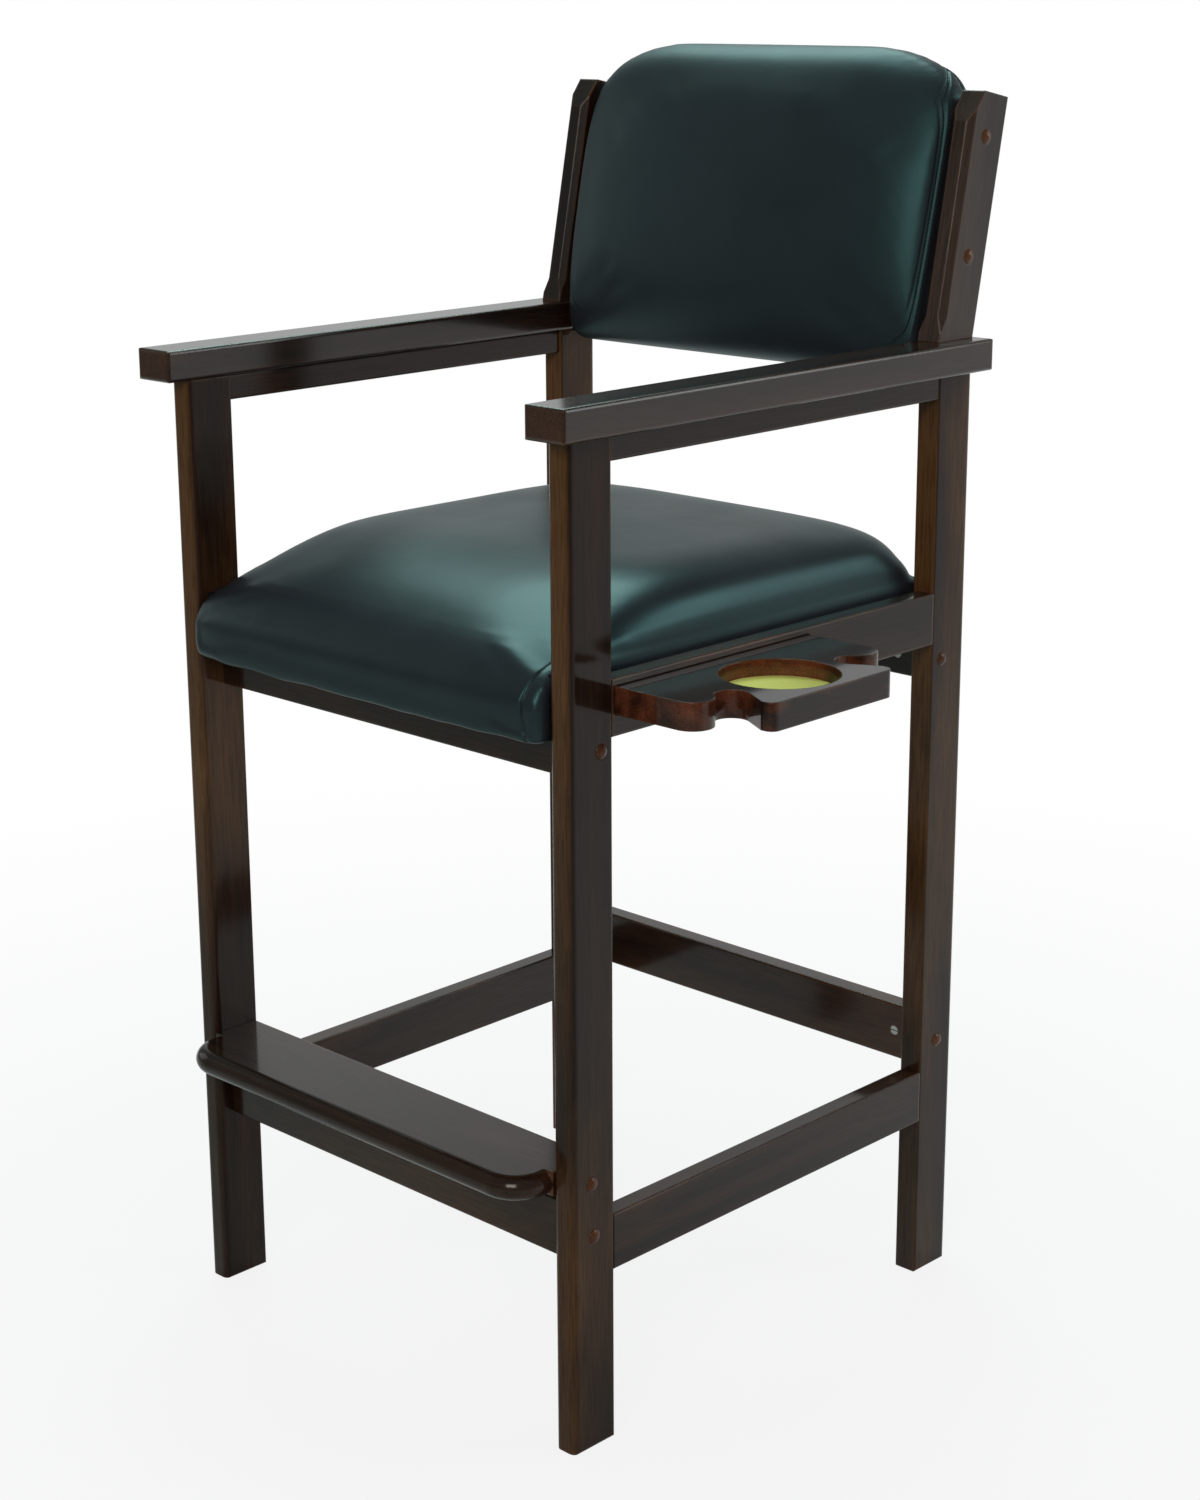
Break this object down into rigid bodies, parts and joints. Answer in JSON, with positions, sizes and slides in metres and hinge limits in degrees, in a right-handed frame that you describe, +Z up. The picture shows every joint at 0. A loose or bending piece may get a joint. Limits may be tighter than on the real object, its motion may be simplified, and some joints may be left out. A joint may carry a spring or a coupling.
{
  "type": "spectator chair",
  "caption": "Tall wooden armchair with padded vinyl seat and back, a footrest, and a sliding board for a cup and cues at one side.",
  "frame": {"origin": "on the floor, midway between the outer faces of the legs from side to side and front to back", "axes": "+Z up; the chair faces -Y; +X is the side of the sliding holder, on the sitter's left"},
  "size_m": [0.7031, 0.6648, 1.2671],
  "materials": {
    "stained_wood": "dark espresso stain, satin lacquer",
    "plain_wood": "bare hardwood",
    "plywood": "bare plywood",
    "black_vinyl": "semi-gloss grained vinyl over foam",
    "pad": "felt",
    "zinc_steel": "zinc plated",
    "insert_brass": "plain"
  },
  "bodies": {
    "chair": {"front_leg_left": "stained_wood", "front_leg_right": "stained_wood", "rear_leg_left": "stained_wood", "rear_leg_right": "stained_wood", "arm_left": "stained_wood", "arm_right": "stained_wood", "arm_rail_left": "stained_wood", "arm_rail_right": "stained_wood", "seat_rail_left": "stained_wood", "seat_rail_right": "stained_wood", "seat_rail_front": "stained_wood", "seat_rail_rear": "stained_wood", "low_rail_left": "stained_wood", "low_rail_right": "stained_wood", "low_rail_front": "stained_wood", "low_rail_rear": "stained_wood", "footrest": "stained_wood", "back_post_left": "stained_wood", "back_post_right": "stained_wood", "seat_base": "plywood", "seat_apron": "plywood", "seat_batten_front": "plain_wood", "seat_batten_rear": "plain_wood", "seat_cushion": "black_vinyl", "back_board": "plywood", "back_cushion": "black_vinyl", "back_cover": "black_vinyl", "runner_front": "plain_wood", "runner_rear": "plain_wood", "stop_block": "plain_wood", "frame_bolts": "zinc_steel", "barrel_nuts": "zinc_steel", "leg_plugs": "stained_wood", "rail_dowels": "plain_wood", "arm_dowels": "plain_wood", "post_dowels": "plain_wood", "arm_screws": "zinc_steel", "seat_screws": "zinc_steel", "runner_screws": "zinc_steel", "back_bolts": "zinc_steel", "back_inserts": "insert_brass", "post_plugs": "stained_wood"},
    "holder": {"holder_board": "stained_wood", "cup_pad": "pad", "stop_bar": "plain_wood", "stop_bar_screws": "zinc_steel"}
  },
  "joints": [
    {"name": "holder_slide", "type": "slide", "parent": "chair", "child": "holder", "axis": [1, 0, 0], "range_m": [-0.12, 0]}
  ]
}
